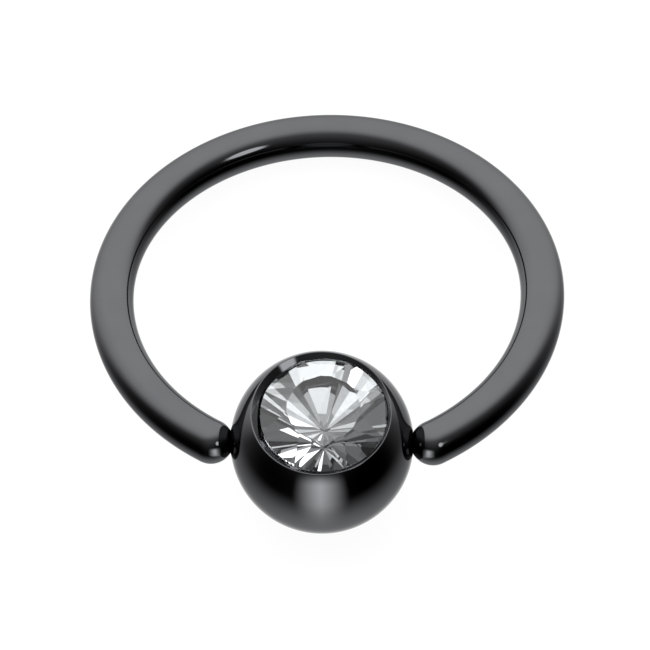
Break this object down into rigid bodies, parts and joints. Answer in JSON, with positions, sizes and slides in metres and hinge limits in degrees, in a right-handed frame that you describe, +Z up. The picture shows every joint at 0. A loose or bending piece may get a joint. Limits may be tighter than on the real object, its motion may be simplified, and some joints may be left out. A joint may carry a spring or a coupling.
{
  "type": "captive bead ring",
  "caption": "Sprung round wire hoop that holds a ball between its domed ends; the ball turns and carries a faceted stone in a slanted bezel.",
  "frame": {"origin": "on the surface that the ring lies on, under the middle of its bounding box", "axes": "+Z up; +X through the two wire ends and the ball, to the right as seen from the ball's side; +Y from the ball towards the far side of the hoop"},
  "size_m": [0.0128, 0.014, 0.0043],
  "materials": {
    "black_steel_wire": "polished steel with a black vacuum coat",
    "black_steel_ball": "polished steel with a black vacuum coat",
    "foiled_crystal": "clear cut crystal with a mirror foil on its pointed back"
  },
  "bodies": {
    "hoop_body": {"hoop": "black_steel_wire"},
    "ball_body": {"bead": "black_steel_ball", "stone": "foiled_crystal"}
  },
  "joints": [
    {"name": "ball_spin", "type": "hinge", "parent": "hoop_body", "child": "ball_body", "pos_m": [0, -0.00456, 0.00243], "axis": [1, 0, 0], "continuous": true}
  ]
}
